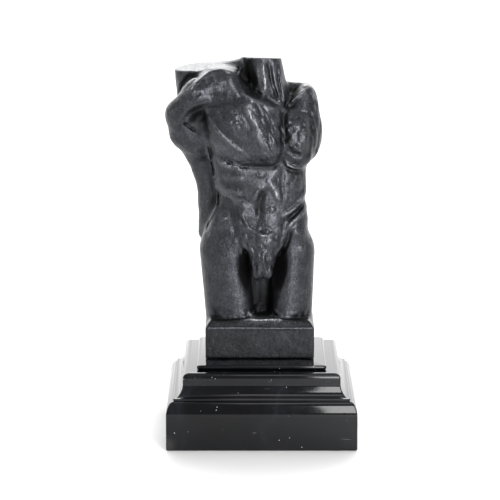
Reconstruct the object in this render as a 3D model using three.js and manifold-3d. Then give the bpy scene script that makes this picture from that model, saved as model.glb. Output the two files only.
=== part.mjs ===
// A small bronze male torso, cast in one with the squared block it stands on, over a thin
// bullnosed slab and a moulded base of black marble.
// Millimetres, +Z up. The origin is the middle of the base's underside. The figure faces -Y.
// "Right" and "left" below are the figure's own: its right side is on -X.
import * as THREE from 'three';
import Module from 'manifold-3d';

const wasm = await Module();
wasm.setup();

// Driving dimensions
const BASE_WIDTH = 160;          // square base, across its lowest block
const BASE_FACE = 28.6;          // height of the base's plain upright face
const BASE_TOP = 63.1;           // top of the moulded base
const SLAB_WIDTH = 109;          // square slab, across its rounded edge
const SLAB_TOP = 67.4;           // top of the slab
const FIT = 0.3;                 // gap left between pieces that rest on each other
const BLOCK_WIDTH = 92;          // bronze block, left to right
const BLOCK_DEPTH = 61;          // bronze block, front to back
const BLOCK_SHIFT = -1.5;        // the block stands a little off the middle of the slab
const BLOCK_FACE_TOP = 94;       // top of the block's upright face
const BLOCK_TOP = 100.6;         // top of the sloping shoulder above it
const BLOCK_SLOPE = 4.4;         // how far that shoulder draws in
const NECK_TOP = 320.3;          // where the neck is cut, on its own axis
const CHEST_TURN = 25;           // degrees the chest is turned to the figure's left
const CELL = 3.1;                // size of the cells that the modelled surface is meshed with
const FIGURE_FACES = 8000;       // triangles kept on the figure

// ---------------------------------------------------------------- forms, as signed distances

const rad = THREE.MathUtils.degToRad;

// Distance to an egg: centre, three radii, and turns about X, Y and Z in degrees.
function egg(centre, radii, turn = [0, 0, 0]) {
  const c = new THREE.Vector3(...centre);
  const back = new THREE.Matrix4()
    .makeRotationFromEuler(new THREE.Euler(rad(turn[0]), rad(turn[1]), rad(turn[2]), 'ZYX'))
    .transpose();
  const q = new THREE.Vector3();
  return (p) => {
    q.copy(p).sub(c).applyMatrix4(back);
    const near = Math.hypot(q.x / radii[0], q.y / radii[1], q.z / radii[2]);
    const slope = Math.hypot(q.x / radii[0] ** 2, q.y / radii[1] ** 2, q.z / radii[2] ** 2);
    return near * (near - 1) / (slope + 1e-9);
  };
}

// Distance to a limb: a round bar from a to b, with a radius at each end.
function limb(start, end, startRadius, endRadius) {
  const a = new THREE.Vector3(...start);
  const ab = new THREE.Vector3(...end).sub(a);
  const q = new THREE.Vector3();
  return (p) => {
    q.copy(p).sub(a);
    const t = THREE.MathUtils.clamp(q.dot(ab) / ab.lengthSq(), 0, 1);
    return q.addScaledVector(ab, -t).length() - (startRadius + (endRadius - startRadius) * t);
  };
}

// Distance to a squared lump with rounded edges.
function lump(centre, half, round, turn = [0, 0, 0]) {
  const c = new THREE.Vector3(...centre);
  const back = new THREE.Matrix4()
    .makeRotationFromEuler(new THREE.Euler(rad(turn[0]), rad(turn[1]), rad(turn[2]), 'ZYX'))
    .transpose();
  const q = new THREE.Vector3();
  return (p) => {
    q.copy(p).sub(c).applyMatrix4(back);
    const x = Math.abs(q.x) - half[0] + round;
    const y = Math.abs(q.y) - half[1] + round;
    const z = Math.abs(q.z) - half[2] + round;
    const outside = Math.hypot(Math.max(x, 0), Math.max(y, 0), Math.max(z, 0));
    return outside + Math.min(Math.max(x, y, z), 0) - round;
  };
}

// A stroke of the modelling tool, drawn on the front (or back) as a path of [x, z] places. It
// raises the surface by height, or sinks it, and fades out across its width and at its ends.
function stroke(path, width, height, { limit = 0, back = false, fade = 0.25 } = {}) {
  const route = new THREE.CatmullRomCurve3(path.map(([x, z]) => new THREE.Vector3(x, 0, z)),
    false, 'catmullrom', 0.5).getPoints(4 * path.length);
  return (p) => {
    let nearest = Infinity;
    let along = 0;
    for (let i = 0; i + 1 < route.length; i++) {
      const dx = route[i + 1].x - route[i].x;
      const dz = route[i + 1].z - route[i].z;
      const px = p.x - route[i].x;
      const pz = p.z - route[i].z;
      const t = THREE.MathUtils.clamp((px * dx + pz * dz) / (dx * dx + dz * dz), 0, 1);
      const away = Math.hypot(px - t * dx, pz - t * dz);
      if (away < nearest) {
        nearest = away;
        along = (i + t) / (route.length - 1);
      }
    }
    if (nearest >= width) return 0;
    const across = (1 - (nearest / width) ** 2) ** 2;
    const ends = 0.15 + 0.85 * THREE.MathUtils.smoothstep(Math.min(along, 1 - along), 0, fade);
    const facing = THREE.MathUtils.clamp((back ? p.y - limit : limit - p.y) / 8 + 0.5, 0, 1);
    return height * across * ends * facing;
  };
}

// Soft joins: k is the width of the blend in millimetres.
function softMin(a, b, k) {
  const h = Math.max(k - Math.abs(a - b), 0);
  return Math.min(a, b) - (k > 0 ? h * h / (4 * k) : 0);
}

const steps = [];
const add = (k, form) => steps.push((d, p) => softMin(d, form(p), k));
const hollow = (k, form) => steps.push((d, p) => -softMin(-d, form(p), k));
const draw = (...stroked) => {
  const raise = stroke(...stroked);
  steps.push((d, p) => d - raise(p));
};

// ---------------------------------------------------------------- the figure

// Trunk
add(0, egg([-2, 4, 244], [43, 28, 50], [0, 0, CHEST_TURN]));       // rib cage
add(16, egg([0, 0, 196], [35, 23, 34]));                           // waist
add(14, egg([-4.5, 3, 168], [42, 27, 26]));                        // pelvis
add(8, egg([-34, 15, 268], [16, 12, 22], [0, 12, 20]));            // right shoulder blade
add(8, egg([14, 25, 266], [16, 9, 21], [0, -10, 20]));             // left shoulder blade

// Thighs, cut off by the block, and buttocks
add(10, limb([-32.5, -1, 156], [-28, -3, 97], 20, 19));
add(10, limb([26.2, -1, 156], [24.5, -3, 97], 19, 18.5));
add(6, limb([-26, -10, 152], [-17, -10, 98], 11, 12.5));           // inner side, right
add(6, limb([24, -10, 152], [18.5, -10, 98], 9.5, 11.5));          // inner side, left
add(9, egg([-25, 17, 160], [21, 18, 24]));
add(9, egg([18, 17, 160], [20, 18, 24]));
add(6, lump([-1.5, 11, 126], [20, 9, 32], 6));                     // web left behind the thighs
hollow(3, egg([2.5, -27, 146], [18.5, 25, 26]));                   // deep recess between them,
hollow(3, limb([2.5, -22, 140], [2, -18, 103], 14, 7));            // closing to a slot below
hollow(3, limb([2.5, -12, 138], [2, -8, 107], 10, 5));

// Right shoulder and arm, bent behind the flank
add(10, egg([-32, -2, 287], [26, 19, 19], [0, 20, 0]));
add(8, limb([-30, -5, 300], [-54, -11, 290], 13, 12.5));
add(6, limb([-54, -11, 290], [-68, -5, 273], 12.5, 12.3));
add(5, limb([-68, -5, 273], [-66, 1, 256], 12.3, 12.3));           // elbow
add(6, limb([-62, 6, 249], [-49, 15, 222], 9.5, 8.4));             // forearm
add(6, limb([-49, 15, 222], [-45, 17, 195], 8.4, 7.8));
add(5, limb([-45, 17, 195], [-46.5, 17, 168], 7.8, 7.4));          // wrist
add(8, egg([-51, 2, 258], [19, 15.5, 22], [0, -12, 0]));             // wall of the armpit
add(6, limb([-42, 13, 238], [-41, 15, 178], 7, 7));                // web to the flank

// Left shoulder, drawn back
add(8, egg([35, 6, 260], [16.5, 18, 30], [0, -2, 0]));
add(6, egg([35.5, 8, 284], [11, 11, 13], [0, 20, 0]));
add(5, limb([18, 19, 289.5], [37, 19, 289], 8.5, 7.5));            // trapezius
hollow(4, limb([27, 6, 303], [36, 10, 303], 7, 5));

// Neck, and the ridge that runs behind it to the right shoulder
add(5, limb([7.5, 6, 284], [0.7, 8, 326], 16.2, 14.3));
add(6, limb([0, 16, 313], [-32, 20, 301], 10, 12));
add(3, limb([-12, 14, 325], [-13, 18, 290], 3, 8));

// Squared stump behind the right shoulder
add(8, limb([-18, 20, 291], [-42, 24, 291], 13, 12));
add(4, lump([-53.5, 26, 295.2], [17.3, 12, 14], 1.2, [0, -17, 4]));

// Chest
add(7, egg([-13, -13, 264], [35, 21, 28], [0, 25, 14]));           // right pectoral
add(4, egg([29, -10, 256], [15, 15, 22], [0, -12, 38]));           // left pectoral
add(4, egg([31, -8, 238], [12, 12, 9]));

// Ribs, belly and hips
add(5, egg([-15, -4, 219], [24, 22, 22], [0, 20, 10]));
add(8, egg([21.5, 2, 216], [15.6, 17, 27]));
add(4, egg([-14, -16, 190], [12, 9.5, 14]));
add(5, egg([7, -15, 181], [12, 10, 12]));
add(8, egg([-31, -7, 184], [10.5, 11, 15], [0, 12, 0]));
add(6, egg([27, -8, 175], [11, 13, 15]));
add(6, egg([30, -3, 186], [8.5, 11, 12]));

// Groin
add(4, egg([1, -14, 168], [18, 14, 14]));
add(4, limb([2, -15, 164], [1, -20, 152], 15.5, 11));
add(3, limb([1, -20, 152], [0.8, -23, 142], 10, 7));
add(2, egg([-2.8, -24.5, 141.5], [5, 5.5, 7.5]));
add(2, egg([4.6, -24.5, 142], [4.6, 5, 8]));

// Neck cords and collar bones
draw([[-1, 322], [2, 305], [6, 290]], 6.5, 2.6, { limit: 20 });
draw([[5, 322], [7, 305], [13, 288]], 2.8, -1.8, { limit: 20 });
draw([[16, 318], [17.5, 300], [19.5, 284]], 2.6, 1.8, { limit: 20 });
draw([[-9, 318], [-8, 300]], 4, -3, { limit: 20, fade: 0.4 });
draw([[-26, 303], [-20, 296], [-9, 291], [3, 285], [13, 279]], 3.6, 2.4, { limit: 10 });
draw([[20, 280], [27, 287], [33, 292], [42, 296]], 3.4, 3, { limit: 14 });

// Shoulder, chest and the folds of the armpit
draw([[-20, 294], [-36, 295], [-52, 290]], 4, -1.2, { limit: 10 });
draw([[-12, 286], [-6, 272], [1, 258], [5, 244]], 8, 3);
draw([[-47, 284], [-42, 268], [-33, 257], [-21, 246], [-9, 238]], 5, 2);
draw([[-64, 268], [-55, 261], [-44, 255]], 4, -2.6);
draw([[-58, 262], [-45, 256], [-33, 249.5], [-20, 241], [-7, 237], [8, 237]], 8, 2);
draw([[-44, 249], [-33, 242], [-22, 234.5], [-9, 232], [9, 232.5], [16, 237], [19, 243]], 4.4,
  -3.4, { fade: 0.12 });
draw([[20, 276], [18, 262], [19, 248]], 4, -2);                    // furrow of the breast bone

// Ribs, rib arch, belly and flank
draw([[-36, 241], [-26, 236], [-12, 230]], 6.5, 3);
draw([[18, 242], [9, 226], [0, 213], [-8, 203]], 6, 2);
draw([[-34, 209], [-24, 203], [-10, 201]], 6, 2);
draw([[11, 219], [12, 212], [11, 205]], 6, 2.4);
draw([[10, 199], [9.5, 195], [9, 190]], 5, 2);
draw([[-1, 207], [-1, 197], [-2, 184]], 4.8, -3);                  // furrow of the navel
draw([[15, 190], [24, 194], [33, 203], [36, 211]], 4, 2.2, { limit: 6 });
draw([[18, 182], [28, 189], [36, 199]], 4, 2, { limit: 6 });
draw([[-20, 192], [-16, 184], [-10, 177]], 4.5, 1.6);
draw([[-24, 192], [-20, 178], [-17, 166]], 5, -2);
draw([[-20, 176], [-10, 178], [1, 174], [13, 178], [20, 182]], 4, 1.6);
draw([[22, 178], [18, 168], [14, 160]], 3.8, -1.6);

// Spine and cleft, on the back
draw([[-13, 300], [-15, 270], [-8, 225], [-3, 196], [-3, 178]], 6, -3, { back: true, limit: 8 });
draw([[-4, 174], [-4, 148]], 5, -5, { back: true, limit: 8 });

const figureDistance = (p) => steps.reduce((d, step) => step(d, p), Infinity);

// ---------------------------------------------------------------- meshing

// The eight corners of a cell, and for each set of corners inside the form, whether those inside
// and those outside each hang together along the cell's edges.
const CORNERS = [0, 1, 2, 3, 4, 5, 6, 7].map((c) => [c & 1, (c >> 1) & 1, c >> 2]);
const hangsTogether = (set) => {
  const found = set.slice(0, 1);
  for (const c of found) {
    for (const next of [c ^ 1, c ^ 2, c ^ 4]) {
      if (set.includes(next) && !found.includes(next)) found.push(next);
    }
  }
  return found.length === set.length;
};
const IS_PLAIN = Array.from({ length: 256 }, (_, mask) => {
  const isIn = (c) => (mask >> c) & 1;
  const all = [0, 1, 2, 3, 4, 5, 6, 7];
  return hangsTogether(all.filter(isIn)) && hangsTogether(all.filter((c) => !isIn(c)));
});

// Fills the pinched cells, where two sheets of the surface would meet in one vertex or edge.
function fillPinches(values, count, at) {
  let changed = true;
  while (changed) {
    changed = false;
    for (let i = 0; i + 1 < count[0]; i++) {
      for (let j = 0; j + 1 < count[1]; j++) {
        for (let k = 0; k + 1 < count[2]; k++) {
          const slots = CORNERS.map(([a, b, c]) => at(i + a, j + b, k + c));
          const mask = slots.reduce((m, slot, c) => m | (values[slot] < 0 ? 1 << c : 0), 0);
          if (IS_PLAIN[mask]) continue;
          const outside = slots.filter((slot) => values[slot] >= 0);
          values[outside.reduce((a, b) => (values[a] < values[b] ? a : b))] = -0.02;
          changed = true;
        }
      }
    }
  }
}

// Meshes the surface where distance is zero: one vertex in each cell that it passes through.
function surfaceOf(distance, low, high, cell) {
  const count = low.map((v, i) => Math.ceil((high[i] - v) / cell) + 1);
  const at = (i, j, k) => (i * count[1] + j) * count[2] + k;
  const values = new Float64Array(count[0] * count[1] * count[2]);
  const p = new THREE.Vector3();
  for (let i = 0; i < count[0]; i++) {
    for (let j = 0; j < count[1]; j++) {
      for (let k = 0; k < count[2]; k++) {
        p.set(low[0] + i * cell, low[1] + j * cell, low[2] + k * cell);
        values[at(i, j, k)] = distance(p);
      }
    }
  }
  fillPinches(values, count, at);
  const vertexOf = new Map();
  const places = [];
  const vertexAt = (i, j, k) => {
    const key = at(i, j, k);
    if (!vertexOf.has(key)) {
      const sum = new THREE.Vector3();
      let crossings = 0;
      for (const corner of CORNERS) {
        for (let axis = 0; axis < 3; axis++) {
          if (corner[axis]) continue;
          const other = corner.map((v, n) => (n === axis ? 1 : v));
          const a = values[at(i + corner[0], j + corner[1], k + corner[2])];
          const b = values[at(i + other[0], j + other[1], k + other[2])];
          if (a < 0 === b < 0) continue;
          const hit = [...corner];
          hit[axis] = a / (a - b);
          sum.add(p.set(...hit));
          crossings++;
        }
      }
      sum.divideScalar(crossings).add(p.set(i, j, k)).multiplyScalar(cell);
      places.push(sum.add(p.set(...low)));
      vertexOf.set(key, places.length - 1);
    }
    return vertexOf.get(key);
  };
  const faces = [];
  for (let i = 1; i + 1 < count[0]; i++) {
    for (let j = 1; j + 1 < count[1]; j++) {
      for (let k = 1; k + 1 < count[2]; k++) {
        for (let axis = 0; axis < 3; axis++) {
          const step = [0, 1, 2].map((n) => (n === axis ? 1 : 0));
          const inside = values[at(i, j, k)] < 0;
          if (inside === values[at(i + step[0], j + step[1], k + step[2])] < 0) continue;
          const u = [0, 1, 2].map((n) => (n === (axis + 1) % 3 ? 1 : 0));
          const v = [0, 1, 2].map((n) => (n === (axis + 2) % 3 ? 1 : 0));
          const ring = [[1, 1], [0, 1], [0, 0], [1, 0]].map(([a, b]) =>
            vertexAt(i - a * u[0] - b * v[0], j - a * u[1] - b * v[1], k - a * u[2] - b * v[2]));
          if (!inside) ring.reverse();
          const flat = places[ring[0]].distanceTo(places[ring[2]])
            <= places[ring[1]].distanceTo(places[ring[3]]);
          const [a, b, c, d] = flat ? ring : [ring[1], ring[2], ring[3], ring[0]];
          faces.push([a, b, c], [a, c, d]);
        }
      }
    }
  }
  return { places, faces };
}

// Moves each vertex on to the true surface, along the slope of the distance.
function settle(places, distance, reach) {
  const q = new THREE.Vector3();
  for (const place of places) {
    for (let turn = 0; turn < 3; turn++) {
      const d = distance(place);
      const slope = ['x', 'y', 'z'].map((axis) => {
        q.copy(place)[axis] += 0.1;
        return (distance(q) - d) / 0.1;
      });
      q.set(...slope);
      const length = Math.max(q.length(), 0.3);
      place.addScaledVector(q, -THREE.MathUtils.clamp(d / length, -reach, reach) / length);
    }
  }
}

// Thins a closed mesh: the edge whose loss changes the form least goes first.
function thin({ places, faces }, target) {
  const quadrics = places.map(() => new Float64Array(10));
  const around = places.map(() => new Set());
  const normalOf = ([a, b, c], swap = -1, moved = null) => {
    const corner = (v) => (v === swap ? moved : places[v]);
    return new THREE.Vector3().subVectors(corner(b), corner(a))
      .cross(new THREE.Vector3().subVectors(corner(c), corner(a)));
  };
  faces.forEach((face, f) => {
    const n = normalOf(face);
    const area = n.length();
    n.divideScalar(area || 1);
    const w = -n.dot(places[face[0]]);
    const plane = [n.x, n.y, n.z, w];
    for (const v of face) {
      around[v].add(f);
      let slot = 0;
      for (let i = 0; i < 4; i++) {
        for (let j = i; j < 4; j++) quadrics[v][slot++] += area * plane[i] * plane[j];
      }
    }
  });
  const errorAt = (qa, qb, p) => {
    const v = [p.x, p.y, p.z, 1];
    let sum = 0;
    let slot = 0;
    for (let i = 0; i < 4; i++) {
      for (let j = i; j < 4; j++) {
        sum += (qa[slot] + qb[slot]) * v[i] * v[j] * (i === j ? 1 : 2);
        slot++;
      }
    }
    return sum;
  };
  const version = new Int32Array(places.length);
  const heap = [];
  const push = (item) => {
    heap.push(item);
    let i = heap.length - 1;
    while (i > 0 && heap[(i - 1) >> 1].cost > heap[i].cost) {
      [heap[i], heap[(i - 1) >> 1]] = [heap[(i - 1) >> 1], heap[i]];
      i = (i - 1) >> 1;
    }
  };
  const pop = () => {
    const top = heap[0];
    const last = heap.pop();
    if (heap.length) {
      heap[0] = last;
      let i = 0;
      for (;;) {
        let least = 2 * i + 1;
        if (least >= heap.length) break;
        if (least + 1 < heap.length && heap[least + 1].cost < heap[least].cost) least++;
        if (heap[i].cost <= heap[least].cost) break;
        [heap[i], heap[least]] = [heap[least], heap[i]];
        i = least;
      }
    }
    return top;
  };
  const consider = (a, b) => {
    const middle = new THREE.Vector3().lerpVectors(places[a], places[b], 0.5);
    const choices = [places[a].clone(), places[b].clone(), middle];
    const costs = choices.map((p) => errorAt(quadrics[a], quadrics[b], p));
    const best = costs.indexOf(Math.min(...costs));
    const stretch = 0.004 * places[a].distanceTo(places[b]) ** 4;
    push({ cost: costs[best] + stretch, a, b, place: choices[best],
      seen: version[a] + version[b] });
  };
  const neighbours = (v) => {
    const found = new Set();
    for (const f of around[v]) faces[f].forEach((u) => found.add(u));
    found.delete(v);
    return found;
  };
  places.forEach((_, a) => neighbours(a).forEach((b) => {
    if (a < b) consider(a, b);
  }));
  let alive = faces.length;
  while (alive > target && heap.length) {
    const { a, b, place, seen } = pop();
    if (seen !== version[a] + version[b] || !around[a].size || !around[b].size) continue;
    const nearA = neighbours(a);
    const nearB = neighbours(b);
    if (!nearA.has(b)) continue;
    const shared = [...nearA].filter((v) => nearB.has(v));
    if (shared.length !== 2) continue;
    const turns = [a, b].some((v) => [...around[v]].some((f) => {
      if (faces[f].includes(a) && faces[f].includes(b)) return false;
      const before = normalOf(faces[f]);
      const after = normalOf(faces[f], v, place);
      return before.dot(after) < 0.35 * before.length() * after.length() || after.length() < 0.05;
    }));
    if (turns) continue;
    places[a].copy(place);
    for (let i = 0; i < 10; i++) quadrics[a][i] += quadrics[b][i];
    for (const f of [...around[b]]) {
      if (faces[f].includes(a)) {
        faces[f].forEach((v) => around[v].delete(f));
        faces[f] = null;
        alive--;
      } else {
        faces[f] = faces[f].map((v) => (v === b ? a : v));
        around[a].add(f);
      }
    }
    around[b].clear();
    version[a]++;
    for (const v of neighbours(a)) consider(a, v);
  }
  return { places, faces: faces.filter(Boolean) };
}

// ---------------------------------------------------------------- solids

function solidFrom({ places, faces }) {
  const used = new Map();
  const vertProperties = [];
  const triVerts = [];
  for (const v of faces.flat()) {
    if (!used.has(v)) {
      used.set(v, used.size);
      vertProperties.push(...places[v]);
    }
    triVerts.push(used.get(v));
  }
  return new wasm.Manifold(new wasm.Mesh({ numProp: 3,
    vertProperties: new Float32Array(vertProperties), triVerts: new Uint32Array(triVerts) }));
}

function geometryFrom(solid) {
  const mesh = solid.getMesh();
  const geometry = new THREE.BufferGeometry();
  geometry.setAttribute('position', new THREE.BufferAttribute(mesh.vertProperties, 3));
  geometry.setIndex(new THREE.BufferAttribute(mesh.triVerts, 1));
  geometry.computeVertexNormals();
  return geometry;
}

// A closed stack of rounded rectangles, one for each level {x, y, z, round} of half sizes.
function stack(levels, shift = 0, cornerSteps = 2) {
  const places = [];
  const faces = [];
  const perRing = 4 * (cornerSteps + 1);
  for (const { x, y, z, round } of levels) {
    for (let corner = 0; corner < 4; corner++) {
      const sx = corner === 0 || corner === 3 ? 1 : -1;
      const sy = corner < 2 ? 1 : -1;
      for (let s = 0; s <= cornerSteps; s++) {
        const angle = (corner + s / cornerSteps) * Math.PI / 2;
        places.push(new THREE.Vector3(shift + sx * (x - round) + round * Math.cos(angle),
          sy * (y - round) + round * Math.sin(angle), z));
      }
    }
  }
  for (let level = 0; level + 1 < levels.length; level++) {
    for (let i = 0; i < perRing; i++) {
      const a = level * perRing + i;
      const b = level * perRing + (i + 1) % perRing;
      faces.push([a, b, b + perRing], [a, b + perRing, a + perRing]);
    }
  }
  const lastRing = (levels.length - 1) * perRing;
  for (let i = 1; i + 1 < perRing; i++) {
    faces.push([0, i + 1, i], [lastRing, lastRing + i, lastRing + i + 1]);
  }
  return solidFrom({ places, faces });
}

// Points along a quarter-like arc of a profile, from one [half width, height] to the next.
// bulge 1 swells outwards, -1 is hollow.
function arc(from, to, bulge, pieces) {
  const points = [];
  for (let i = 1; i <= pieces; i++) {
    const t = i / pieces * Math.PI / 2;
    const drawIn = bulge > 0 ? 1 - Math.cos(t) : Math.sin(t);
    const rise = bulge > 0 ? Math.sin(t) : 1 - Math.cos(t);
    points.push([from[0] + (to[0] - from[0]) * drawIn, from[1] + (to[1] - from[1]) * rise]);
  }
  return points;
}

const square = ([half, z], round = 1.2) => ({ x: half, y: half, z, round });

function marbleBase() {
  const half = BASE_WIDTH / 2;
  const filletHalf = 73.9;
  const bandHalf = 66.1;
  const profile = [[half - 1.6, 0], ...arc([half - 1.6, 0], [half, 1.6], -1, 3),
    [half, BASE_FACE], ...arc([half, BASE_FACE], [filletHalf, 41.4], 1, 6),
    [filletHalf, 43.4], ...arc([filletHalf, 43.4], [bandHalf, 54.3], -1, 6),
    [bandHalf, 58.6], ...arc([bandHalf, 58.6], [bandHalf - 5, BASE_TOP], 1, 5)];
  return stack(profile.map((point) => square(point)));
}

function marbleSlab() {
  const bottom = BASE_TOP + FIT;
  const round = (SLAB_TOP - bottom) / 2;
  const profile = [];
  for (let i = 0; i <= 8; i++) {
    const angle = (i / 8 - 0.5) * Math.PI;
    profile.push([SLAB_WIDTH / 2 - round + round * Math.cos(angle),
      bottom + round + round * Math.sin(angle)]);
  }
  return stack(profile.map((point) => square(point, 2.4)));
}

function bronzeTorso() {
  const reach = 1.2;
  const surface = surfaceOf(figureDistance, [-90, -50, 70], [60, 50, 346], CELL);
  settle(surface.places, figureDistance, reach);
  const figure = solidFrom(thin(surface, FIGURE_FACES));
  const x = BLOCK_WIDTH / 2;
  const y = BLOCK_DEPTH / 2;
  const foot = SLAB_TOP + FIT;
  const block = stack([
    { x: x - 0.8, y: y - 0.8, z: foot, round: 1 },
    { x, y, z: foot + 1.2, round: 1 },
    { x, y, z: BLOCK_FACE_TOP - 0.6, round: 1 },
    { x: x - 0.8, y: y - 0.8, z: BLOCK_FACE_TOP, round: 1 },
    { x: x - BLOCK_SLOPE, y: y - BLOCK_SLOPE, z: BLOCK_TOP, round: 1 },
  ], BLOCK_SHIFT);
  // Everything above the neck's cut, and below the middle of the block, is taken off
  const side = 400;
  const above = new THREE.BoxGeometry(side, side, side);
  above.translate(0, 0, side / 2).rotateX(-rad(5.5)).rotateY(rad(1)).translate(0, 0, NECK_TOP);
  const below = new THREE.BoxGeometry(side, side, side);
  below.translate(0, 0, (foot + BLOCK_FACE_TOP) / 2 - side / 2);
  return figure.subtract(solidOf(above)).subtract(solidOf(below)).add(block);
}

function solidOf(box) {
  const corners = new Map();
  const position = box.getAttribute('position');
  const places = [];
  const ids = [];
  for (let i = 0; i < position.count; i++) {
    const p = new THREE.Vector3().fromBufferAttribute(position, i);
    const key = p.toArray().map((v) => v.toFixed(3)).join();
    if (!corners.has(key)) {
      corners.set(key, places.length);
      places.push(p);
    }
    ids.push(corners.get(key));
  }
  const index = [...box.getIndex().array].map((i) => ids[i]);
  const faces = [];
  for (let i = 0; i < index.length; i += 3) faces.push(index.slice(i, i + 3));
  return solidFrom({ places, faces });
}

// ---------------------------------------------------------------- scene

const bronze = new THREE.MeshStandardMaterial({ color: 0x34363b, roughness: 0.38, metalness: 0.9 });
const slabMarble = new THREE.MeshStandardMaterial({ color: 0x111214, roughness: 0.1, metalness: 0 });
const baseMarble = new THREE.MeshStandardMaterial({ color: 0x141518, roughness: 0.12, metalness: 0 });

function piece(name, solid, material) {
  const mesh = new THREE.Mesh(geometryFrom(solid), material);
  mesh.name = name;
  return mesh;
}

const group = new THREE.Group();
group.add(piece('bronze_torso', bronzeTorso(), bronze));
group.add(piece('marble_slab', marbleSlab(), slabMarble));
group.add(piece('marble_base', marbleBase(), baseMarble));

export default group;
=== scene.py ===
# A small headless bronze torso, cast in one with its squared block, on a polished black marble
# plinth. Metres, +Z up; the figure faces -Y. "Right" and "left" are the figure's own.
import math

import bpy
import numpy as np
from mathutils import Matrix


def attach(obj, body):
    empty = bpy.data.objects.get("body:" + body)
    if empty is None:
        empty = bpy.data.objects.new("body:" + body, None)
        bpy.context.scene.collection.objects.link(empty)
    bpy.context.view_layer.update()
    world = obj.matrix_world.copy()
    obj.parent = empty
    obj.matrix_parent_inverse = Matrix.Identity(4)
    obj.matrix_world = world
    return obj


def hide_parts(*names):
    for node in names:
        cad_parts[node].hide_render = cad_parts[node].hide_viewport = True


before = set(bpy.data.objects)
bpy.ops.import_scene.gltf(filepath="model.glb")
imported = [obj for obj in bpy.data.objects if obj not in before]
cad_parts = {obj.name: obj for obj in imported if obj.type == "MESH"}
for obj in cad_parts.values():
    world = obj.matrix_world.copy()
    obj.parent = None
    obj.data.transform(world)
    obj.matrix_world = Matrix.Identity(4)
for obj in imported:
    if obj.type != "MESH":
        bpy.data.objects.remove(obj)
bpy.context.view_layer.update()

# Bronze torso. A hollow cast figure in one piece with the squared block under its cut thighs,
# taken from a model built up in wax and worked with thumbs and wire tools, whose strokes the
# bronze keeps. A bolt from below would hold it to the marble. Sizes here are in millimetres.

NECK_CUT = 320.3                 # height of the cut at the neck's axis
BLOCK_HALF = (46.0, 30.5)        # half of the block's width and depth
BLOCK_SHIFT = -1.5               # the block stands a little off the middle
BLOCK_FOOT = 67.7
BLOCK_FACE_TOP = 94.0            # top of the block's upright faces
BLOCK_TOP = 100.6                # top of the slope above them
BLOCK_SLOPE = 4.4                # how far the slope draws in
CHEST_TURN = 25                  # degrees the chest is turned to the figure's left


def turned(points, centre, turn):
    """Points as seen from a form that is set at centre and turned about X, Y and Z."""
    moved = points - np.array(centre, float)
    if not any(turn):
        return moved
    (cx, sx), (cy, sy), (cz, sz) = [(math.cos(a), math.sin(a)) for a in map(math.radians, turn)]
    about_x = np.array([[1, 0, 0], [0, cx, -sx], [0, sx, cx]])
    about_y = np.array([[cy, 0, sy], [0, 1, 0], [-sy, 0, cy]])
    about_z = np.array([[cz, -sz, 0], [sz, cz, 0], [0, 0, 1]])
    return moved @ (about_z @ about_y @ about_x)


def egg(centre, radii, turn=(0, 0, 0)):
    """Distance to an egg-shaped pellet of wax."""
    radii = np.array(radii, float)

    def distance(points):
        q = turned(points, centre, turn)
        near = np.sqrt(((q / radii) ** 2).sum(1))
        slope = np.sqrt(((q / radii ** 2) ** 2).sum(1))
        return near * (near - 1) / (slope + 1e-9)
    return distance


def limb(start, end, start_radius, end_radius):
    """Distance to a round bar that tapers from start to end."""
    start, end = np.array(start, float), np.array(end, float)

    def distance(points):
        q, way = points - start, end - start
        t = np.clip(q @ way / (way @ way), 0, 1)
        away = np.sqrt(((q - t[:, None] * way) ** 2).sum(1))
        return away - (start_radius + (end_radius - start_radius) * t)
    return distance


def lump(centre, half, rounding, turn=(0, 0, 0)):
    """Distance to a squared lump with rounded edges."""
    def distance(points):
        q = np.abs(turned(points, centre, turn)) - np.array(half, float) + rounding
        return np.sqrt((np.maximum(q, 0) ** 2).sum(1)) + np.minimum(q.max(1), 0) - rounding
    return distance


def drum(centre, radii, half_height, rounding, turn=(0, 0, 0)):
    """Distance to an upright oval drum with flat ends and rounded edges."""
    radii = np.array(radii, float) - rounding

    def distance(points):
        q = turned(points, centre, turn)
        side = (np.sqrt(((q[:, :2] / radii) ** 2).sum(1)) - 1) * radii.min()
        end = np.abs(q[:, 2]) - half_height + rounding
        out = np.hypot(np.maximum(side, 0), np.maximum(end, 0))
        return out + np.minimum(np.maximum(side, end), 0) - rounding
    return distance


def blended(a, b, width):
    """The nearer of two distances, with a soft join."""
    if width <= 0:
        return np.minimum(a, b)
    overlap = np.maximum(width - np.abs(a - b), 0)
    return np.minimum(a, b) - overlap ** 2 / (4 * width)


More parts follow.
